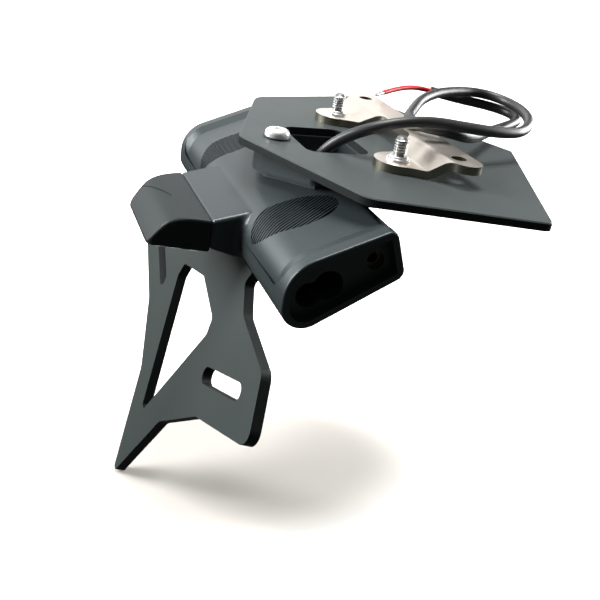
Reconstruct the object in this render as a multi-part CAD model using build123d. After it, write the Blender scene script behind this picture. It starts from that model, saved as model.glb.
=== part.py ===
"""Motorcycle tail tidy: top plate, moulded body with indicator wings, lit rear cap and number-plate bracket.

Millimetres. X to the bike's right, Y forward, Z up. The pieces are drawn with Z = 0 on the top plate's
upper face and moved together at the end, so that the origin lies midway between the two studs, at the height
where their free threads begin.
"""
import os
from math import atan2, cos, degrees, radians, sin, tan

from build123d import *

os.makedirs("parts", exist_ok=True)

# Top plate, a six-sided sheet that is symmetric about the centre plane
plate_t = 3.0
plate_rear_y = -52.6
plate_front_y = 67.9
plate_back_half = 63.1
plate_back_y = -27.1
plate_fore_half = 81.5
plate_fore_y = 31.2
plate_back_round = 9.0
plate_fore_round = 3.0
plate_edge = 0.4

# Cable opening through the top plate
opening_half = 16.3
opening_rear_y = -30.5
opening_front_y = -5.0
opening_round = 5.0

# Studs that hold the part under the seat
stud_half = 30.0
stud_y = -1.4
stud_r = 2.2
stud_core_r = 2.0
stud_hole_r = 2.75
stud_runout = 0.3
stud_top_z = 11.6
stud_tip = 0.7
stud_head_r = 4.75
stud_head_h = 2.6
stud_key = 1.5
nut_r = 4.4
nut_h = 1.0
nut_ring_r = 3.5
nut_ring_h = 0.7
nut_edge = 0.3
stud_head_sink = 0.6
stud_key_h = 1.5

# Fits and cutters shared by all the pieces
bolt_play = 0.25
thread_play = 0.05
fit_play = 0.15
head_crown = 0.7
cut_over = 1.0

# Bridge bracket in steel sheet: two feet on the plate, a raised flange in front of them
bridge_t = 3.0
bridge_rise = 5.0
bridge_foot_r = 9.0
bridge_bend_y = 6.6
bridge_ramp_y = 6.0
bridge_front_y = 24.0
bridge_half = 51.0
bridge_hole_x = 41.5
bridge_hole_y = 17.3
bridge_hole_r = 2.8
bridge_slot_l = 17.0
bridge_slot_w = 5.5
bridge_slot_y = 17.8
bridge_foot_bend_r = 6.0
bridge_flange_bend_r = 2.0
bridge_foot_out = 4.0
bridge_foot_in = 3.0
bridge_neck_in = 10.5
bridge_neck_end = 4.0
bridge_neck_lap = 2.0
bridge_neck_r = 6.0
bridge_lobe_r = 3.5
bridge_end_round = 0.49

# Button-head bolt at the plate's rear and its threaded insert
bolt_y = -37.5
bolt_r = 2.5
bolt_head_r = 4.75
bolt_head_h = 2.75
bolt_key = 1.5
bolt_key_h = 1.6
bolt_reach = 7.5
washer_r = 5.3
washer_t = 0.6
insert_r = 3.7
insert_h = 8.0

# Wing section, as corners in the YZ plane with a radius each, the same from one wing tip to the other
wing_rear_y = -55.5
wing_rear_top_z = -19.9
wing_rear_low_z = -46.2
wing_nose_top = (-20.95, -5.6)
wing_nose_low = (-14.65, -21.75)
wing_rear_top_r = 14.0
wing_rear_low_r = 8.0
wing_nose_top_r = 3.0
wing_nose_low_r = 3.5
wing_half = 75.0
collar_w = 5.0
panel_in = 29.0
panel_crease = 65.0
panel_low_z = -29.0
panel_start = 0.02
panel_deep = 1.3
panel_long = 45.0
panel_nose = 10.0
panel_collar_r = 6.0
panel_arm_r = 4.0
recess_wall = 2.6
recess_deep = 4.0
recess_rim = 0.8

# Openings in the wing ends: a two-lobed wire opening and a threaded insert
wire_big = (-39.3, -26.6)
wire_big_r = 5.0
wire_small = (-45.6, -30.0)
wire_small_r = 4.3
tip_insert_at = (-24.6, -18.0)
tip_insert_r = 3.1
tip_insert_h = 9.0
tip_thread_r = 2.0
tip_sink = 3.0
wire_waist_r = 2.0

# Ribbed oval on each wing's shoulder
rib_x = 39.5
rib_y = -42.5
rib_long = 32.4
rib_wide = 20.2
rib_deep = 1.0
rib_count = 17
rib_pitch = 1.32
rib_fill = 0.35
rib_turn = 26.0
rib_reach = 12.0
oval_turn = -8.0

# Arm to the rear and the cap on its end
arm_half = 26.0
arm_end_y = -66.0
arm_low_z = -37.0
arm_end_top_z = -23.7
arm_root_y = -46.0
arm_root_top_z = -18.6
arm_edge_r = 1.6
arm_web_r = 3.0
seam_edge = 0.6

cap_len = 21.2
cap_nose_half = 19.5
cap_nose_r = 3.0
cap_low_z = -35.5
cap_crown = ((6.0, -23.7), (11.0, -24.5), (14.5, -26.1), (17.0, -28.6), (19.3, -31.6))
cap_nose_z = -34.6
cap_edge_r = 1.2
cap_apex_back = 9.1
cap_ridge_half = 24.0
cap_ridge_back = 18.1
cap_facet = 0.3
spigot_half = 14.0
spigot_h = 6.0
spigot_l = 5.0
spigot_wall = 1.6
spigot_z = -30.2

# Number-plate lamp in the cap
lens_inset = 1.6
lens_sunk = 1.6
lens_proud = 1.2
lamp_half = 15.0
lamp_len = 9.4
lamp_wall = 3.2
lamp_roof_z = -30.2
board_t = 1.2
led_count = 3
led_pitch = 9.0
led_size = 3.5
led_h = 0.8

# Pedestal between the top plate and the wings: a collar with a gap under it, on a narrower neck
ped_rear_y = -46.2
ped_half = 31.4
ped_front_y = 9.5
ped_front_half = 40.0
ped_front_low_z = -13.5
ped_block_y = -20.0
ped_gap = 3.2
ped_neck_in = 3.0
ped_neck_y = -16.2
ped_low_z = -18.0
ped_apex_r = 14.0
ped_round = 3.0

# Hollow inside the body for the wires
mouth_inset = 1.3
well_half = 12.0
well_rear_y = -38.5
well_front_y = -19.5
well_top_z = -15.0
well_low_z = -22.5
mouth_low_z = -10.5
shaft_rear_y = -29.0
chamber_half = 13.0
chamber_rear_y = -46.0
chamber_front_y = -36.0
chamber_top_z = -19.0
chamber_low_z = -32.0
duct_r = 3.5

# Number-plate bracket, drawn in its own tilted plane: across, and down along the plate
hanger_tilt = 18.0
hanger_y = -73.34
hanger_z = -100.0
hanger_t = 4.0
hanger_under_arm = 1.2
hanger_top_half = 37.5
hanger_neck_half = 36.0
hanger_neck = -60.0
hanger_waist = (46.0, -52.0)
hanger_ear_top = (75.5, -47.0)
hanger_ear_low = (88.6, -26.5)
hanger_notch = (47.0, -9.4)
hanger_spike = (20.6, 12.0)
hanger_tip_half = 1.4
hanger_tip = 51.6
hanger_ear_r = 5.0
hanger_soft_r = 6.0
hanger_sharp_r = 2.0
hanger_tip_r = 1.3
slot_mid = (53.2, -28.2)
slot_len = 34.0
slot_w = 6.5
slot_rise = 21.8
window_peak = -44.6
window_top = (24.0, -38.6)
window_side = (25.5, -32.1)
window_low = (1.5, 19.2)
window_r = 3.0
window_low_r = 1.2

# Lug under the body that carries the number-plate bracket
lug_half = 16.0
lug_t = 5.0
lug_low = -51.5
lug_root = 6.0
lug_round = 3.0
lug_bolt_half = 8.5
lug_bolt_at = -57.0
lug_bolt_r = 2.5
lug_bolt_bite = 3.2
lug_head_r = 4.75
lug_head_h = 2.75
lug_key = 1.5
lug_key_h = 1.6
lug_washer_r = 5.0
lug_washer_t = 1.0

# Cable to the bike, one red core with a bare end, and the gland where the cable leaves the body
gland_r = 4.2
gland_h = 4.0
gland_edge = 0.8
cable_r = 2.15
core_r = 1.05
bare_r = 0.75
bend_share = 0.45
cable_points = [
    (4.0, -25.0, -22.5), (4.0, -25.0, -10.5), (11.0, -19.5, 2.8), (20.1, -8.2, 11.8), (21.5, 10.3, 15.6),
    (19.2, 33.8, 13.2), (16.7, 49.0, 11.6), (10.4, 63.7, 11.0), (-12.8, 82.4, 11.2), (-37.2, 88.7, 12.0),
    (-51.3, 77.8, 13.2), (-39.1, 51.1, 14.2), (-26.9, 34.9, 12.8), (-10.3, 22.5, 11.5), (1.0, 14.6, 10.8),
    (11.5, 15.3, 10.8), (17.4, 23.8, 10.9), (14.4, 35.7, 8.0), (0.3, 50.5, 5.8), (-11.0, 62.0, 5.0),
    (-22.0, 79.0, 5.6), (-28.4, 87.5, 6.2), (-36.8, 90.2, 6.8), (-44.4, 86.9, 7.4), (-47.8, 79.3, 8.2),
    (-49.3, 70.6, 9.0), (-51.4, 62.2, 9.9), (-53.7, 54.0, 11.0),
]
core_points = [
    (-53.7, 54.0, 11.0), (-54.85, 49.9, 11.55), (-52.1, 41.9, 12.2), (-47.6, 32.7, 11.7), (-42.5, 24.5, 10.8),
]
bare_end = (-39.44, 19.58, 10.26)

standing = (Align.CENTER, Align.CENTER, Align.MIN)
hanging = (Align.CENTER, Align.CENTER, Align.MAX)


def rounded(points, radii):
    """A face with straight sides and the given radius at each corner."""
    face = make_face(Polyline(*points, close=True))
    for point, radius in zip(points, radii):
        if radius > 0:
            corner = face.vertices().sort_by_distance((point[0], point[1], 0))[0]
            face = fillet(corner, radius)
    return face


def both_sides(solid):
    return solid + mirror(solid, about=Plane.YZ)


def mirrored(points):
    """Closes a half outline, listed from the centre line to the centre line, over to the other side."""
    return points + [(-x, y) for x, y in reversed(points) if x > 1e-6]


def above(a, b, c, size=120.0):
    """A block that fills the upper side of the plane through three points."""
    a, b, c = Vector(*a), Vector(*b), Vector(*c)
    normal = (b - a).cross(c - a)
    if normal.Z < 0:
        normal = normal * -1.0
    return Plane(origin=(a + b + c) / 3.0, z_dir=normal) * Box(size, size, size, align=standing)


def tube(points, radius):
    """A round tube along straight runs and the arcs between them; prints the arcs' radii."""
    radii = []
    for a, b, c in zip(points, points[1:], points[2:]):
        u, w = Vector(*b) - Vector(*a), Vector(*c) - Vector(*b)
        turn = radians(u.get_angle(w))
        radii.append(bend_share * min(u.length, w.length) / tan(turn / 2.0))
    print("tube radii", " ".join(f"{r:.1f}" for r in radii))
    path = FilletPolyline(*points, radius=radii)
    return sweep(Plane(origin=path @ 0, z_dir=path % 0) * Circle(radius), path=path)


def tapered(section, *places):
    """A solid along X through places given as x and the section's inset there, straight between them."""
    faces = []
    for x, inset in places:
        faces.append(Plane.YZ.offset(x) * (offset(section, -inset) if inset else section))
    return loft(faces, ruled=True)


def hex_key(across, deep):
    return extrude(RegularPolygon(across, 6, major_radius=False), deep)


# Top plate
plate_outline = mirrored([(0, plate_rear_y), (plate_back_half, plate_back_y), (plate_fore_half, plate_fore_y),
                          (0, plate_front_y)])
plate_face = rounded(plate_outline, [plate_back_round, plate_back_round, plate_fore_round, plate_fore_round,
                                     plate_fore_round, plate_back_round])
opening_mid_y = (opening_rear_y + opening_front_y) / 2
opening_len = opening_front_y - opening_rear_y
opening_face = Pos(0, opening_mid_y) * RectangleRounded(2 * opening_half, opening_len, opening_round)
top_plate = extrude(plate_face, -plate_t)
top_plate = chamfer(top_plate.faces().sort_by(Axis.Z)[-1].edges(), plate_edge)
top_plate -= extrude(opening_face, -plate_t)
top_plate -= Pos(0, bolt_y, -plate_t / 2) * Cylinder(bolt_r + bolt_play, plate_t)
for side in (-1, 1):
    top_plate -= Pos(side * stud_half, stud_y, -plate_t / 2) * Cylinder(stud_hole_r, plate_t)

# Bridge bracket: bent profile, cut to its outline
flange_y = bridge_bend_y + bridge_ramp_y
flange_top_z = bridge_rise + bridge_t
bend_shift = bridge_t * tan(atan2(bridge_rise, bridge_ramp_y) / 2)
foot_rear_y = -2 * bridge_foot_r
bends = [(bridge_bend_y, 0), (flange_y, bridge_rise), (flange_y - bend_shift, flange_top_z),
         (bridge_bend_y - bend_shift, bridge_t)]
bend_profile = make_face(Polyline(
    (foot_rear_y, 0), *bends[:2], (bridge_front_y, bridge_rise), (bridge_front_y, flange_top_z), *bends[2:],
    (foot_rear_y, bridge_t), close=True))
for (y, z), radius in zip(bends, [bridge_foot_bend_r, bridge_flange_bend_r] * 2):
    bend_profile = fillet(bend_profile.vertices().sort_by_distance((y, z, 0))[0], radius)
bent_sheet = extrude(Plane.YZ * bend_profile, bridge_half, both=True)
flange_len = bridge_front_y - flange_y
bridge_plan = Pos(0, (bridge_front_y + flange_y) / 2) * RectangleRounded(
    2 * bridge_half, flange_len, bridge_end_round * flange_len)
for side in (-1, 1):
    neck_y = flange_y + bridge_neck_lap
    foot = [(bridge_foot_r, 0), (bridge_foot_r + bridge_foot_out, bridge_bend_y),
            (bridge_half - stud_half - bridge_neck_end, neck_y), (-bridge_foot_r - bridge_neck_in, neck_y),
            (-bridge_foot_r - bridge_foot_in, bridge_bend_y), (-bridge_foot_r, 0)]
    bridge_plan += make_face(Polyline(*[(side * (stud_half + x), y) for x, y in foot], close=True))
    bridge_plan += Pos(side * stud_half, 0) * Circle(bridge_foot_r)
bridge_plan = offset(offset(bridge_plan, bridge_neck_r), -bridge_neck_r)
bridge_plan = offset(offset(bridge_plan, -bridge_lobe_r), bridge_lobe_r)
bridge_bracket = bent_sheet & extrude(bridge_plan, flange_top_z)
for side in (-1, 1):
    bridge_bracket -= Pos(side * bridge_hole_x, bridge_hole_y, bridge_rise) * Cylinder(
        bridge_hole_r, 4 * bridge_t)
    bridge_bracket -= Pos(side * stud_half, 0, bridge_t / 2) * Cylinder(stud_hole_r, 2 * bridge_t)
bridge_slot = Pos(0, bridge_slot_y) * SlotOverall(bridge_slot_l, bridge_slot_w)
bridge_bracket -= extrude(bridge_slot, flange_top_z + cut_over)
bridge_bracket = Pos(0, stud_y, 0) * bridge_bracket

# Button-head bolt, its washer and its threaded insert
head_z = washer_t
plate_bolt = Pos(0, bolt_y, head_z) * Cylinder(bolt_head_r, bolt_head_h, align=standing)
plate_bolt = fillet(plate_bolt.edges().sort_by(Axis.Z)[-1], bolt_head_h * head_crown)
plate_bolt -= Pos(0, bolt_y, head_z + bolt_head_h - bolt_key_h) * hex_key(bolt_key, bolt_key_h + cut_over)
shank_l = head_z + plate_t + bolt_reach
plate_bolt += Pos(0, bolt_y, head_z - shank_l / 2) * Cylinder(bolt_r, shank_l)
bolt_washer = Pos(0, bolt_y, 0) * extrude(Circle(washer_r) - Circle(bolt_r + bolt_play), washer_t)
body_top_z = -plate_t
bolt_insert = Pos(0, bolt_y, body_top_z - insert_h / 2) * (
    Cylinder(insert_r, insert_h) - Cylinder(bolt_r + thread_play, insert_h))

# Wings, one section from tip to tip
wing_corners = [(wing_rear_y, wing_rear_top_z), wing_nose_top, wing_nose_low, (wing_rear_y, wing_rear_low_z)]
wing_section = rounded(wing_corners, [wing_rear_top_r, wing_nose_top_r, wing_nose_low_r, wing_rear_low_r])
wings = extrude(Plane.YZ * wing_section, wing_half, both=True)
for side in (0, -1):
    wings = fillet(wings.faces().sort_by(Axis.X)[side].edges(), recess_rim)

# Arm, blended into the wings with a small web
arm_points = [(arm_end_y, arm_low_z), (arm_end_y, arm_end_top_z), (arm_root_y, arm_root_top_z),
              (arm_root_y, arm_low_z)]
arm = extrude(Plane.YZ * make_face(Polyline(*arm_points, close=True)), arm_half, both=True)
arm = fillet(arm.faces().sort_by(Axis.Z)[-1].edges().filter_by(Axis.X, reverse=True), arm_edge_r)
arm = chamfer(arm.faces().sort_by(Axis.Y)[0].edges(), seam_edge)
main_body = wings + arm
crease = main_body.edges().filter_by(Axis.X).filter_by(
    lambda e: wing_rear_y < e.center().Y < arm_root_y and arm_low_z < e.center().Z < arm_root_top_z)
main_body = fillet(crease, arm_web_r)

# Sunken panel on the rear and top of each wing, deepest at a crease along the collar
panel_plane = Plane(origin=(0, wing_rear_y, panel_low_z), x_dir=(1, 0, 0), z_dir=(0, -1, 1))
collar_in = wing_half - collar_w
panel_face = rounded([(panel_in, 0), (collar_in, 0), (collar_in, panel_long), (panel_in, panel_long)],
                     [panel_arm_r, panel_collar_r, 0, 0])
panel_floor = tapered(wing_section, (panel_in, panel_start), (panel_crease, panel_deep),
                      (collar_in, panel_start))
panel_block = panel_plane * extrude(Pos(0, 0, -panel_nose) * panel_face, 2 * panel_nose)
panel_blank = tapered(wing_section, (panel_in, 0), (collar_in, 0)) - panel_floor
main_body -= both_sides(panel_blank & panel_block)

# Pedestal under the top plate
ped_slope = (plate_back_y - plate_rear_y) / plate_back_half
ped_side = [(0, ped_rear_y), (ped_half, ped_rear_y + ped_slope * ped_half), (ped_front_half, ped_front_y)]
ped_radii = [ped_apex_r, ped_round, ped_round, 0, ped_round, ped_round]
ped_face = rounded(mirrored(ped_side + [(0, ped_front_y)]), ped_radii)
shoulder = atan2(wing_nose_top[1] - wing_rear_top_z, wing_nose_top[0] - wing_rear_y)
lip_rear_z = wing_rear_top_z + ped_gap
lip_nose_z = wing_nose_top[1] + ped_gap
lip = above((-wing_half, wing_rear_y, lip_rear_z), (wing_half, wing_rear_y, lip_rear_z),
            (0, wing_nose_top[0], lip_nose_z), 4 * wing_half)
pedestal = extrude(Pos(0, 0, ped_low_z) * ped_face, body_top_z - ped_low_z) & lip
before = Pos(0, ped_block_y) * Rectangle(2 * wing_half, 2 * wing_half, align=(Align.CENTER, Align.MIN))
pedestal += extrude(Pos(0, 0, ped_front_low_z) * (ped_face & before), body_top_z - ped_front_low_z)
behind = Pos(0, ped_neck_y) * Rectangle(2 * wing_half, 2 * wing_half, align=(Align.CENTER, Align.MAX))
neck_face = offset(ped_face, -ped_neck_in) & behind
pedestal += extrude(Pos(0, 0, ped_low_z) * neck_face, body_top_z - ped_low_z)

# Lug for the number-plate bracket, in the bracket's own plane
tilt = radians(hanger_tilt)
hanger_plane = Plane(origin=(0, hanger_y, hanger_z), x_dir=(1, 0, 0), z_dir=(0, cos(tilt), -sin(tilt)))
hanger_top = (hanger_z - arm_low_z + hanger_under_arm) / cos(tilt)
lug_top = hanger_top - lug_root
lug = Pos(0, (lug_top + lug_low) / 2, hanger_t) * extrude(
    RectangleRounded(2 * lug_half, lug_low - lug_top, lug_round), lug_t)
lug = hanger_plane * lug

# Flat seat behind the bracket's top edge
seat = Pos(0, hanger_top, hanger_t) * Box(2 * (hanger_top_half + fit_play), wing_half, wing_half,
                                          align=(Align.CENTER, Align.MIN, Align.MAX))
main_body -= hanger_plane * seat
main_body += pedestal
main_body += lug

# Ribbed oval: a shallow pocket in the panel's floor with upright ridges left in it, slanted to the wing
rib_floor = tapered(wing_section, (panel_in, panel_start + rib_deep), (panel_crease, panel_deep + rib_deep))
skin = tapered(wing_section, (panel_in, panel_start), (panel_crease, panel_deep)) - rib_floor
oval_mid = Pos(rib_x, rib_y, wing_rear_top_z + (rib_y - wing_rear_y) * tan(shoulder))
oval_face = Rot(0, 0, oval_turn) * Ellipse(rib_wide / 2, rib_long / 2)
oval = oval_mid * Rot(degrees(shoulder), 0, 0) * extrude(oval_face, rib_reach, both=True)
ridge_cut = skin & oval
for i in range(rib_count):
    across = (i - (rib_count - 1) / 2) * rib_pitch
    ridge_cut -= oval_mid * Rot(0, 0, rib_turn) * Pos(across, 0, 0) * Box(
        rib_pitch * rib_fill, 2 * rib_long, 2 * rib_long)
main_body -= ridge_cut
main_body -= mirror(ridge_cut, about=Plane.YZ)

# Wing ends: recess, wire opening and insert
recess = extrude(Plane.YZ.offset(wing_half - recess_deep) * offset(wing_section, -recess_wall),
                 recess_deep + cut_over)
wire_face = Pos(*wire_big) * Circle(wire_big_r) + Pos(*wire_small) * Circle(wire_small_r)
wire_face = offset(offset(wire_face, wire_waist_r), -wire_waist_r)
wire_way = extrude(Plane.YZ.offset(chamber_half - cut_over) * wire_face, wing_half - chamber_half + cut_over)
tip_floor = wing_half - recess_deep
tip_bed = tip_floor - tip_sink
tip_hole = Plane.YZ.offset(tip_bed - tip_insert_h) * Pos(*tip_insert_at) * extrude(
    Circle(tip_insert_r), tip_insert_h + tip_sink + cut_over)
main_body -= both_sides(recess + wire_way)
main_body -= both_sides(tip_hole)
tip_insert = Plane.YZ.offset(tip_bed - tip_insert_h) * Pos(*tip_insert_at) * extrude(
    Circle(tip_insert_r) - Circle(tip_thread_r), tip_insert_h)

# Hollow for the wires, from the plate's opening to the wings and the cap
mouth = extrude(Pos(0, 0, mouth_low_z) * offset(opening_face, -mouth_inset), body_top_z - mouth_low_z)
well = Pos(0, (well_rear_y + well_front_y) / 2, (well_low_z + well_top_z) / 2) * Box(
    2 * well_half, well_front_y - well_rear_y, well_top_z - well_low_z)
chamber = Pos(0, (chamber_rear_y + chamber_front_y) / 2, (chamber_low_z + chamber_top_z) / 2) * Box(
    2 * chamber_half, chamber_front_y - chamber_rear_y, chamber_top_z - chamber_low_z)
duct_l = chamber_front_y - arm_end_y
duct = Pos(0, arm_end_y + duct_l / 2, spigot_z) * Rot(90, 0, 0) * Cylinder(duct_r, duct_l)
socket_l = spigot_l + fit_play
socket = Pos(0, arm_end_y + socket_l / 2, spigot_z) * Box(
    2 * (spigot_half + fit_play), socket_l, spigot_h + 2 * fit_play)
shaft_h = mouth_low_z + cut_over - well_low_z
shaft = Pos(0, (shaft_rear_y + well_front_y) / 2, well_low_z) * Box(
    2 * well_half, well_front_y - shaft_rear_y, shaft_h, align=standing)
main_body -= mouth + shaft + well + chamber + duct + socket

# Holes for the insert, the studs and the bracket's bolts
main_body -= Pos(0, bolt_y, body_top_z - insert_h / 2) * Cylinder(insert_r, insert_h)
stud_seat_z = ped_front_low_z + stud_head_h + stud_head_sink
for side in (-1, 1):
    main_body -= Pos(side * stud_half, stud_y, (body_top_z + stud_seat_z) / 2) * Cylinder(
        stud_hole_r, body_top_z - stud_seat_z)
    main_body -= Pos(side * stud_half, stud_y, stud_seat_z) * Cylinder(
        stud_head_r + bolt_play, wing_half, align=hanging)
    main_body -= hanger_plane * Pos(side * lug_bolt_half, lug_bolt_at, hanger_t + lug_t / 2) * Cylinder(
        lug_bolt_r + bolt_play, lug_t)

# Studs with their heads under the pedestal, and the round nuts on the feet
nut_top_z = bridge_t + nut_h + nut_ring_h
free_z = nut_top_z + stud_runout
stud = Pos(0, 0, free_z) * Cylinder(stud_r, stud_top_z - free_z, align=standing)
stud = chamfer(stud.edges().sort_by(Axis.Z)[-1], stud_tip)
stud += Pos(0, 0, stud_seat_z) * Cylinder(stud_core_r, free_z - stud_seat_z, align=standing)
stud_head_z = stud_seat_z - stud_head_h
stud_head = Pos(0, 0, stud_head_z) * Cylinder(stud_head_r, stud_head_h, align=standing)
stud_head = fillet(stud_head.edges().sort_by(Axis.Z)[0], stud_head_h * head_crown)
stud += stud_head
stud -= Pos(0, 0, stud_head_z - cut_over) * hex_key(stud_key, stud_key_h + cut_over)
nut = Pos(0, 0, bridge_t) * Cylinder(nut_r, nut_h, align=standing)
nut = chamfer(nut.edges().sort_by(Axis.Z)[-1], nut_edge)
nut += Pos(0, 0, bridge_t) * Cylinder(nut_ring_r, nut_h + nut_ring_h, align=standing)
nut = chamfer(nut.edges().sort_by(Axis.Z)[-1], nut_edge)
nut -= Pos(0, 0, bridge_t) * Cylinder(stud_core_r + thread_play, nut_h + nut_ring_h, align=standing)
studs = [Pos(side * stud_half, stud_y, 0) * stud for side in (-1, 1)]
nuts = [Pos(side * stud_half, stud_y, 0) * nut for side in (-1, 1)]

# Rear cap: plan and side profile, with a shallow facet down to the nose
cap_nose_y = arm_end_y - cap_len
cap_corners = mirrored([(arm_half, arm_end_y), (cap_nose_half, cap_nose_y)])
cap_plan = rounded(cap_corners, [0, cap_nose_r, cap_nose_r, 0])
crown_points = [(arm_end_y - back, z) for back, z in cap_crown]
crown = Spline((arm_end_y, arm_end_top_z), *crown_points, (cap_nose_y, cap_nose_z))
cap_under = Polyline((cap_nose_y, cap_nose_z), (cap_nose_y, cap_low_z), (arm_end_y, cap_low_z),
                     (arm_end_y, arm_end_top_z))
cap_side = make_face(crown + cap_under)
rear_cap = extrude(Pos(0, 0, cap_low_z) * cap_plan, -cap_low_z)
crown_body = extrude(Plane.YZ * cap_side, arm_half, both=True)
rear_cap &= crown_body
crown_edges = rear_cap.edges().filter_by(
    lambda e: abs(e.center().X) > cap_nose_half - cap_nose_r and e.center().Z > cap_nose_z + seam_edge
    and e.center().Y < arm_end_y - seam_edge and e.bounding_box().size.Y > seam_edge)
rear_cap = fillet(crown_edges, cap_edge_r)
rear_cap = chamfer(rear_cap.faces().sort_by(Axis.Y)[-1].edges(), seam_edge)
facet_plan = mirrored([(0, arm_end_y - cap_apex_back), (cap_ridge_half, arm_end_y - cap_ridge_back),
                       (cap_ridge_half, cap_nose_y - cut_over), (0, cap_nose_y - cut_over)])
facet = extrude(Pos(0, 0, cap_nose_z) * make_face(Polyline(*facet_plan, close=True)), -cap_nose_z)
rear_cap -= facet - Pos(0, 0, -cap_facet) * crown_body
lens_bed = cap_low_z + lens_sunk
lens_plan = offset(cap_plan, -lens_inset)
rear_cap -= extrude(Pos(0, 0, cap_low_z - cut_over) * lens_plan, lens_sunk + cut_over)
lamp_front_y = arm_end_y - lamp_wall
lamp_mid_y = lamp_front_y - lamp_len / 2
rear_cap -= Pos(0, lamp_mid_y, lens_bed) * Box(
    2 * lamp_half, lamp_len, lamp_roof_z - lens_bed, align=standing)
spigot = Pos(0, arm_end_y + spigot_l / 2, spigot_z) * Box(2 * spigot_half, spigot_l, spigot_h)
rear_cap += spigot
way_l = arm_end_y + spigot_l - lamp_front_y + cut_over
rear_cap -= Pos(0, lamp_front_y - cut_over + way_l / 2, spigot_z) * Box(
    2 * (spigot_half - spigot_wall), way_l, spigot_h - 2 * spigot_wall)

# Lamp: lens under the cap, board on the roof of its hollow
lens_face = Pos(0, 0, cap_low_z - lens_proud) * offset(lens_plan, -fit_play)
light_lens = extrude(lens_face, lens_sunk + lens_proud)
light_lens = chamfer(light_lens.faces().sort_by(Axis.Z)[0].edges(), lens_proud / 2)
board_low_z = lamp_roof_z - board_t
light_board = Pos(0, lamp_mid_y, lamp_roof_z) * Box(
    2 * (lamp_half - fit_play), lamp_len - 2 * fit_play, board_t, align=hanging)
led = Pos(0, lamp_mid_y, board_low_z) * Box(led_size, led_size, led_h, align=hanging)
leds = [Pos((i - (led_count - 1) / 2) * led_pitch, 0, 0) * led for i in range(led_count)]

# Number-plate bracket
hanger_right = [(hanger_top_half, hanger_top), (hanger_neck_half, hanger_neck), hanger_waist, hanger_ear_top,
                hanger_ear_low, hanger_notch, hanger_spike, (hanger_tip_half, hanger_tip)]
hanger_radii = [0, hanger_sharp_r, hanger_soft_r, hanger_soft_r, hanger_ear_r, hanger_sharp_r, hanger_soft_r,
                hanger_tip_r]
hanger_face = rounded(mirrored(hanger_right), hanger_radii + hanger_radii[::-1])
window_radii = [window_r, window_r, window_low_r]
window = rounded(mirrored([(0, window_peak), window_top, window_side, window_low]),
                 [window_r] + window_radii + window_radii[::-1])
hanger_face -= window
for side in (-1, 1):
    slot_at = Pos(side * slot_mid[0], slot_mid[1]) * Rot(0, 0, -side * slot_rise)
    hanger_face -= slot_at * SlotOverall(slot_len, slot_w)
plate_bracket = extrude(hanger_face, hanger_t)
for side in (-1, 1):
    plate_bracket -= Pos(side * lug_bolt_half, lug_bolt_at, hanger_t - lug_bolt_bite / 2) * Cylinder(
        lug_bolt_r + thread_play, lug_bolt_bite)
plate_bracket = hanger_plane * plate_bracket

# Bolts from the front of the lug into the bracket
head_at = hanger_t + lug_t + lug_washer_t
lug_bolt = Pos(0, 0, head_at) * Cylinder(lug_head_r, lug_head_h, align=standing)
lug_bolt = fillet(lug_bolt.edges().sort_by(Axis.Z)[-1], lug_head_h * head_crown)
lug_bolt -= Pos(0, 0, head_at + lug_head_h - lug_key_h) * hex_key(lug_key, lug_key_h + cut_over)
lug_shank_l = lug_t + lug_washer_t + lug_bolt_bite
lug_bolt += Pos(0, 0, head_at - lug_shank_l / 2) * Cylinder(lug_bolt_r, lug_shank_l)
lug_washer = Pos(0, 0, head_at - lug_washer_t) * extrude(
    Circle(lug_washer_r) - Circle(lug_bolt_r + bolt_play), lug_washer_t)
lug_bolts = [hanger_plane * Pos(side * lug_bolt_half, lug_bolt_at, 0) * lug_bolt for side in (-1, 1)]
lug_washers = [hanger_plane * Pos(side * lug_bolt_half, lug_bolt_at, 0) * lug_washer for side in (-1, 1)]

# Cable, from the gland on the floor of the hollow
gland = Pos(*cable_points[0]) * extrude(Circle(gland_r) - Circle(cable_r + thread_play), gland_h)
cable_gland = chamfer(gland.faces().sort_by(Axis.Z)[-1].edges().sort_by(SortBy.LENGTH)[-1], gland_edge)
cable = tube(cable_points, cable_r)
red_core = tube(core_points, core_r)
core_end = Vector(*core_points[-1])
bare_run = Vector(*bare_end) - core_end
bare_wire = Solid.make_cylinder(bare_r, bare_run.length, Plane(origin=core_end, z_dir=bare_run))

nodes = {
    "top_plate": top_plate,
    "bridge_bracket": bridge_bracket,
    "studs": Compound(children=studs),
    "stud_nuts": Compound(children=nuts),
    "plate_bolt": plate_bolt,
    "plate_bolt_washer": bolt_washer,
    "plate_bolt_insert": bolt_insert,
    "main_body": main_body,
    "wing_insert_right": tip_insert,
    "wing_insert_left": mirror(tip_insert, about=Plane.YZ),
    "rear_cap": rear_cap,
    "light_lens": light_lens,
    "light_board": light_board,
    "light_leds": Compound(children=leds),
    "plate_bracket": plate_bracket,
    "bracket_bolts": Compound(children=lug_bolts),
    "bracket_washers": Compound(children=lug_washers),
    "cable_gland": cable_gland,
    "cable": cable,
    "red_core": red_core,
    "bare_wire": bare_wire,
}
for name, shape in nodes.items():
    solids = [Pos(0, -stud_y, -free_z) * solid for solid in shape.solids()]
    export_step(Compound(children=solids) if len(solids) > 1 else solids[0], f"parts/{name}.step")
    print(name, len(shape.solids()), round(sum(s.volume for s in shape.solids()), 1))
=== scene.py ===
"""Looks of the motorcycle tail tidy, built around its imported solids. Metres, in the part's own frame."""
import math

import bpy
from mathutils import Matrix, Vector


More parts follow.
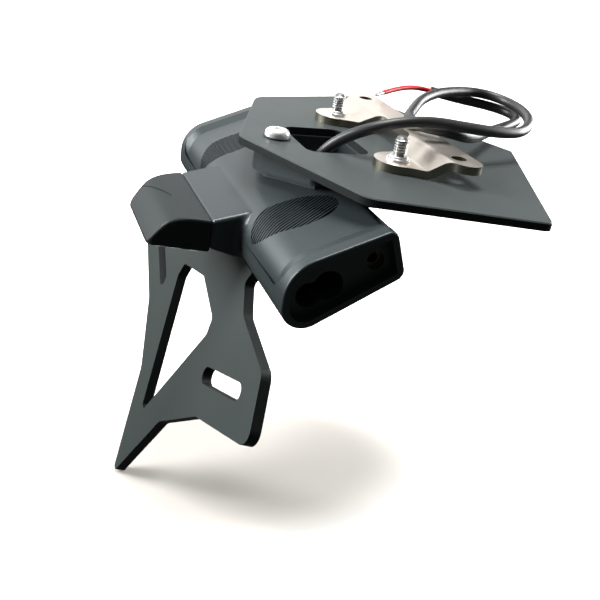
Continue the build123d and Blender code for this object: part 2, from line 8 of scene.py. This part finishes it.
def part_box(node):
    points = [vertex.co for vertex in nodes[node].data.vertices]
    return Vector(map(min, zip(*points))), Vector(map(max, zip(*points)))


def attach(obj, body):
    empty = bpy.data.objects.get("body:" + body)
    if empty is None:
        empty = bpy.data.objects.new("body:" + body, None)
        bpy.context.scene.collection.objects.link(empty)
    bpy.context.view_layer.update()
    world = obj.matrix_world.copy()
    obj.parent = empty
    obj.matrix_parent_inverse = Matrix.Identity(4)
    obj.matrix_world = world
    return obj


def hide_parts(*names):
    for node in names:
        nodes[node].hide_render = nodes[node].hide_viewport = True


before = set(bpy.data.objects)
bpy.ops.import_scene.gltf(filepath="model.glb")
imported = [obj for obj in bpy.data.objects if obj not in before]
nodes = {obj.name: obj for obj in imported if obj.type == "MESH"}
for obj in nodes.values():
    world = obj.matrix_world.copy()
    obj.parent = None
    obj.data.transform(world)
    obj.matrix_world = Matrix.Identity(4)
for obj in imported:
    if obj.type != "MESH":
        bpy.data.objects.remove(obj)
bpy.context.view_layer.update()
scene = bpy.context.scene
scene.view_settings.view_transform = "Standard"
MM = 0.001

# Middle of the top plate's upper face in the part's frame, from which the camera and the lead are measured.
# Lengths are in millimetres from here down to the lead's points.
plate_at = (0.0, 1.4, -5.0)

# Camera, placed where the photograph was taken from
camera_at = (282.47, -141.49, 79.89)
camera_right = (0.3299, 0.9313, 0.1542)
camera_up = (-0.4608, 0.0163, 0.8874)
camera_back = (0.8239, -0.3638, 0.4345)
camera_sensor = 36.0
camera_lens = 48.9
camera_near = 10.0

# Studs, from the origin, and the ridge of their threads: its widths are shares of the pitch
stud_half = 30.0
stud_r = 2.2
thread_pitch = 1.0
thread_rise = 0.3
thread_sink = 0.05
thread_crest_half = 0.1
thread_foot_half = 0.34
thread_start = 0.4
thread_run = 5.5
thread_steps = 40

# Lead: the sheath's route and its red core
cable_r = 2.15
core_r = 1.05
cable_points = [
    (4.0, -25.0, -22.5), (4.0, -25.0, -10.5), (11.0, -19.5, 2.8), (20.1, -8.2, 11.8), (21.5, 10.3, 15.6),
    (19.2, 33.8, 13.2), (16.7, 49.0, 11.6), (10.4, 63.7, 11.0), (-12.8, 82.4, 11.2), (-37.2, 88.7, 12.0),
    (-51.3, 77.8, 13.2), (-39.1, 51.1, 14.2), (-26.9, 34.9, 12.8), (-10.3, 22.5, 11.5), (1.0, 14.6, 10.8),
    (11.5, 15.3, 10.8), (17.4, 23.8, 10.9), (14.4, 35.7, 8.0), (0.3, 50.5, 5.8), (-11.0, 62.0, 5.0),
    (-22.0, 79.0, 5.6), (-28.4, 87.5, 6.2), (-36.8, 90.2, 6.8), (-44.4, 86.9, 7.4), (-47.8, 79.3, 8.2),
    (-49.3, 70.6, 9.0), (-51.4, 62.2, 9.9), (-53.7, 54.0, 11.0),
]
core_points = [
    (-53.7, 54.0, 11.0), (-54.85, 49.9, 11.55), (-52.1, 41.9, 12.2), (-47.6, 32.7, 11.7), (-42.5, 24.5, 10.8),
]
cord_order = 3
cord_steps = 10
cord_sides = 6

# Directions that the faces of the sheets look in: flat sheets, and the bracket that leans back from upright
flat_axis = (0, 0, 1)
bracket_lean = math.radians(18.0)
bracket_axis = (0.0, math.cos(bracket_lean), -math.sin(bracket_lean))

# Colours that are used more than once
coat_colour = (0.044, 0.053, 0.052)
# The bracket's coat is the plate's coat painted darker: painted shade against the light from the rear
bracket_shaded_colour = (0.03, 0.038, 0.036)
# Painted shade on the cut edges of the black sheets
coat_edge_shade = (0.006, 0.007, 0.007)
steel_colour = (0.82, 0.76, 0.68)
# Painted shade on the steel bracket's cut edges
steel_edge_shade = (0.2, 0.19, 0.15)
bright_plate = (0.92, 0.92, 0.91)
gloss_tint = (0.9, 0.99, 1.0)

# Grain of the satin surfaces
coat_grain, coat_bump = 2500.0, 0.25
moulded_grain, moulded_bump = 1800.0, 0.2
bump_height = 0.0001

# Uneven gloss: the noise's scale and detail, and how far the roughness wanders
satin_noise, satin_wander = (35.0, 2.0), 0.05
metal_noise, metal_wander = (120.0, 3.0), 0.3
plastic_noise, plastic_wander = (300.0, 2.0), 0.05

# How nearly a sheet's surface looks along its axis to count as a cut edge, which gets painted shade, and as a
# face
edge_below, face_above = 0.2, 0.5

# Floor and its walls, glowing white outside an ellipse round the part's shadow; the weaker glow inside is
# painted shade
floor_reach = 6.0
floor_colour = (0.78, 0.745, 0.69)
floor_roughness = 0.8
shadow_mid = (0.0, -0.03)
shadow_size = (0.08, 0.13)
shadow_core = 0.4
glow_least, glow_most = 0.03, 1.0
world_strength = 0.06

# Soft lights: place, target, size and power
softboxes = {
    "key": ((-0.25, 0.0, 1.1), (0, 0, -0.03), (0.5, 0.5), 18.0),
    "left_wall": ((-1.4, -0.1, 0.4), (0, 0, -0.03), (1.8, 1.0), 7.5),
    "rear_high": ((-0.42, -0.9, 0.33), (0, 0, -0.06), (0.45, 0.6), 21.0),
    "front_fill": ((-0.3, 1.1, 0.2), (0, 0, -0.06), (0.8, 0.5), 20.0),
}


def seated(point):
    """A point in millimetres from the plate's upper face, in the part's own frame."""
    return (Vector(point) + Vector(plate_at)) * MM


def add_piece(name, data, material):
    """Puts a new piece in the scene, on the part's only body."""
    data.materials.append(material)
    piece = bpy.data.objects.new(name, data)
    scene.collection.objects.link(piece)
    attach(piece, "root")
    return piece


def thread(name, at, material):
    """A helical ridge on a stud's own wall that fades out at both ends."""
    count = int(thread_run / thread_pitch * thread_steps)
    half_turn = thread_steps / 2
    verts, faces = [], []
    for i in range(count + 1):
        angle = 2 * math.pi * i / thread_steps
        crest = thread_rise * min(1.0, i / half_turn, (count - i) / half_turn)
        profile = ((-thread_sink, -thread_foot_half), (crest, -thread_crest_half),
                   (crest, thread_crest_half), (-thread_sink, thread_foot_half))
        for out, along in profile:
            r = stud_r + out
            z = at[2] + thread_pitch * (i / thread_steps + along)
            verts.append(((at[0] + r * math.cos(angle)) * MM, (at[1] + r * math.sin(angle)) * MM, z * MM))
    for i in range(count):
        for k in range(4):
            j = (k + 1) % 4
            faces.append((4 * i + k, 4 * i + 4 + k, 4 * i + 4 + j, 4 * i + j))
    faces += [(0, 1, 2, 3), (4 * count + 3, 4 * count + 2, 4 * count + 1, 4 * count)]
    mesh = bpy.data.meshes.new(name)
    mesh.from_pydata(verts, [], faces)
    return add_piece(name, mesh, material)


def cord_piece(name, points, radius, material):
    """A round cord on a smooth curve with the route's points as its control points."""
    curve = bpy.data.curves.new(name, "CURVE")
    curve.dimensions = "3D"
    spline = curve.splines.new("NURBS")
    spline.points.add(len(points) - 1)
    for control, point in zip(spline.points, points):
        control.co = (*seated(point), 1)
    spline.order_u = cord_order
    spline.use_endpoint_u = True
    spline.resolution_u = cord_steps
    curve.bevel_depth = radius * MM
    curve.bevel_resolution = cord_sides
    curve.use_fill_caps = True
    return add_piece(name, curve, material)


def node(tree, kind, **values):
    """Adds a node and sets the given sockets by name."""
    made = tree.nodes.new(kind)
    for name, value in values.items():
        made.inputs[name.replace("_", " ")].default_value = value
    return made


def new_material(name, colour, **values):
    """A material with one colour, and with the given sockets of its shader set by name."""
    material = bpy.data.materials.new(name)
    material.use_nodes = True
    shader = material.node_tree.nodes["Principled BSDF"]
    shader.inputs["Base Color"].default_value = (*colour, 1)
    for socket, value in values.items():
        shader.inputs[socket.replace("_", " ")].default_value = value
    return material, material.node_tree, shader


def uneven_gloss(tree, shader, scale, detail, low, high):
    """Lets the roughness wander between two values; returns the coordinates that it follows."""
    place = tree.nodes.new("ShaderNodeTexCoord")
    noise = node(tree, "ShaderNodeTexNoise", Scale=scale, Detail=detail)
    gloss = node(tree, "ShaderNodeMapRange", To_Min=low, To_Max=high)
    tree.links.new(place.outputs["Object"], noise.inputs["Vector"])
    tree.links.new(noise.outputs["Fac"], gloss.inputs["Value"])
    tree.links.new(gloss.outputs["Result"], shader.inputs["Roughness"])
    return place


def satin_black(name, colour, roughness, grain, bump, gloss_level=0.35):
    """Satin black with an uneven gloss and a fine grain."""
    material, tree, shader = new_material(name, colour, Specular_IOR_Level=gloss_level,
                                          Specular_Tint=(*gloss_tint, 1))
    place = uneven_gloss(tree, shader, *satin_noise, roughness - satin_wander, roughness + satin_wander)
    fine = node(tree, "ShaderNodeTexNoise", Scale=grain, Detail=3.0, Roughness=0.6)
    relief = node(tree, "ShaderNodeBump", Strength=bump, Distance=bump_height)
    tree.links.new(place.outputs["Object"], fine.inputs["Vector"])
    tree.links.new(fine.outputs["Fac"], relief.inputs["Height"])
    tree.links.new(relief.outputs["Normal"], shader.inputs["Normal"])
    return material


def metal(name, colour, roughness, metallic=1.0):
    """Plain bright metal."""
    material, tree, shader = new_material(name, colour, Metallic=metallic)
    uneven_gloss(tree, shader, *metal_noise, roughness * (1 - metal_wander), roughness * (1 + metal_wander))
    return material


def plastic(name, colour, roughness, clear=0.0):
    """Smooth plastic or rubber with a slight unevenness."""
    material, tree, shader = new_material(name, colour, Transmission_Weight=clear)
    uneven_gloss(tree, shader, *plastic_noise, roughness - plastic_wander, roughness + plastic_wander)
    return material


def paint_edge_shade(material, colour, edge_colour, axis):
    """Paints shade on a sheet's cut edges, which look across its axis: a darker colour than its faces."""
    tree = material.node_tree
    place = tree.nodes.new("ShaderNodeTexCoord")
    along = tree.nodes.new("ShaderNodeVectorMath")
    along.operation = "DOT_PRODUCT"
    along.inputs[1].default_value = axis
    either_way = tree.nodes.new("ShaderNodeMath")
    either_way.operation = "ABSOLUTE"
    face = node(tree, "ShaderNodeMapRange", From_Min=edge_below, From_Max=face_above)
    tint = tree.nodes.new("ShaderNodeMix")
    tint.data_type = "RGBA"
    tint.inputs["A"].default_value = (*edge_colour, 1)
    tint.inputs["B"].default_value = (*colour, 1)
    tree.links.new(place.outputs["Normal"], along.inputs[0])
    tree.links.new(along.outputs["Value"], either_way.inputs[0])
    tree.links.new(either_way.outputs["Value"], face.inputs["Value"])
    tree.links.new(face.outputs["Result"], tint.inputs["Factor"])
    tree.links.new(tint.outputs["Result"], tree.nodes["Principled BSDF"].inputs["Base Color"])


def dress(name, material):
    """Gives a CAD node its finished material."""
    slots = nodes[name].data.materials
    slots.clear()
    slots.append(material)


def softbox(name, at, target, size, power):
    """A rectangular soft light that points at a target."""
    light = bpy.data.lights.new(name, "AREA")
    light.shape = "RECTANGLE"
    light.size, light.size_y = size
    light.energy = power
    lamp = bpy.data.objects.new(name, light)
    lamp.location = at
    lamp.rotation_euler = (Vector(target) - Vector(at)).to_track_quat("-Z", "Y").to_euler()
    scene.collection.objects.link(lamp)


# Materials
coat = satin_black("black_coat", coat_colour, 0.5, coat_grain, coat_bump)
# Painted shade: the black sheets' cut edges are coloured darker than their faces
paint_edge_shade(coat, coat_colour, coat_edge_shade, flat_axis)
# Painted shade: a darker copy of the plate's coat for the bracket
shaded_bracket_coat = satin_black("shaded_bracket_coat", bracket_shaded_colour, 0.45, coat_grain, coat_bump)
paint_edge_shade(shaded_bracket_coat, bracket_shaded_colour, coat_edge_shade, bracket_axis)
moulding = satin_black("black_moulding", (0.022, 0.029, 0.031), 0.4, moulded_grain, moulded_bump, 0.6)
cap_black = satin_black("cap_black", (0.012, 0.016, 0.017), 0.5, moulded_grain, moulded_bump, 0.28)
stainless = metal("stainless", steel_colour, 0.34)
# Painted shade: the steel's cut edges are coloured darker than its faces
paint_edge_shade(stainless, steel_colour, steel_edge_shade, flat_axis)
zinc = metal("zinc", bright_plate, 0.34)
# Painted shade: the stud under the thread is a darker zinc than the ridge, to darken the thread's grooves
shaded_root_zinc = metal("thread_root_shade", (0.3, 0.3, 0.3), 0.4)
chrome = metal("chrome", bright_plate, 0.3, metallic=0.4)
brass = metal("brass", (0.34, 0.25, 0.13), 0.45)
tin = metal("tin", (0.75, 0.72, 0.68), 0.3)
sheath = plastic("sheath", (0.03, 0.03, 0.032), 0.42)
rubber = plastic("rubber", (0.018, 0.018, 0.018), 0.6)
red = plastic("red_sleeve", (0.85, 0.02, 0.025), 0.35)
board = plastic("board", (0.03, 0.16, 0.07), 0.5)
chip = plastic("chip", (0.9, 0.88, 0.7), 0.3)
lens = plastic("lens", (0.6, 0.62, 0.63), 0.1, clear=0.9)
finishes = {
    "top_plate": coat, "plate_bracket": shaded_bracket_coat, "main_body": moulding, "rear_cap": cap_black,
    "bridge_bracket": stainless, "studs": shaded_root_zinc, "stud_nuts": zinc, "bracket_bolts": zinc,
    "bracket_washers": zinc, "plate_bolt": chrome, "plate_bolt_washer": rubber, "plate_bolt_insert": brass,
    "wing_insert_right": brass, "wing_insert_left": brass, "light_lens": lens, "light_board": board,
    "light_leds": chip, "cable_gland": rubber, "bare_wire": tin,
}
for name, material in finishes.items():
    dress(name, material)

# Threads on the studs' free ends
for name, x in (("left", -stud_half), ("right", stud_half)):
    thread(f"stud_thread_{name}", (x, 0.0, thread_start), zinc)

# Lead
cable = cord_piece("lead_sheath", cable_points, cable_r, sheath)
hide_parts("cable")
core = cord_piece("lead_core", core_points, core_r, red)
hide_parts("red_core")

# Floor at the height of the bracket's tip, with walls far off
tip_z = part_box("plate_bracket")[0][2]
corners = [(-floor_reach, -floor_reach), (floor_reach, -floor_reach),
           (floor_reach, floor_reach), (-floor_reach, floor_reach)]
walls = [(i, (i + 1) % 4, (i + 1) % 4 + 4, i + 4) for i in range(4)]
floor_verts = [(x, y, z) for z in (tip_z, floor_reach) for x, y in corners]
floor_mesh = bpy.data.meshes.new("floor")
floor_mesh.from_pydata(floor_verts, [], [(0, 1, 2, 3)] + walls)
floor = bpy.data.objects.new("floor", floor_mesh)
scene.collection.objects.link(floor)
pale, pale_tree, pale_shader = new_material("floor_white", floor_colour, Roughness=floor_roughness,
                                            Emission_Color=(1, 1, 1, 1))
# Painted shade: the floor's glow is taken down inside an ellipse laid round the part's shadow
place = pale_tree.nodes.new("ShaderNodeTexCoord")
from_middle = node(pale_tree, "ShaderNodeMapping", Location=(*shadow_mid, tip_z), Scale=(*shadow_size, 1.0))
from_middle.vector_type = "TEXTURE"
distance = pale_tree.nodes.new("ShaderNodeVectorMath")
distance.operation = "LENGTH"
glow = node(pale_tree, "ShaderNodeMapRange", From_Min=shadow_core, To_Min=glow_least, To_Max=glow_most)
glow.interpolation_type = "SMOOTHSTEP"
pale_tree.links.new(place.outputs["Object"], from_middle.inputs["Vector"])
pale_tree.links.new(from_middle.outputs["Vector"], distance.inputs[0])
pale_tree.links.new(distance.outputs["Value"], glow.inputs["Value"])
pale_tree.links.new(glow.outputs["Result"], pale_shader.inputs["Emission Strength"])
floor_mesh.materials.append(pale)
floor.visible_diffuse = False
floor.visible_glossy = False

# Light
world = bpy.data.worlds.new("studio")
scene.world = world
world.use_nodes = True
background = world.node_tree.nodes["Background"]
background.inputs["Color"].default_value = (1, 1, 1, 1)
background.inputs["Strength"].default_value = world_strength
for name, (at, target, size, power) in softboxes.items():
    softbox(name, at, target, size, power)

# Camera
camera = bpy.data.cameras.new("camera")
camera.sensor_width = camera_sensor
camera.lens = camera_lens
camera.clip_start = camera_near * MM
viewer = bpy.data.objects.new("camera", camera)
axes = Matrix((camera_right, camera_up, camera_back)).transposed()
viewer.matrix_world = Matrix.Translation(seated(camera_at)) @ axes.to_4x4()
scene.collection.objects.link(viewer)
scene.camera = viewer
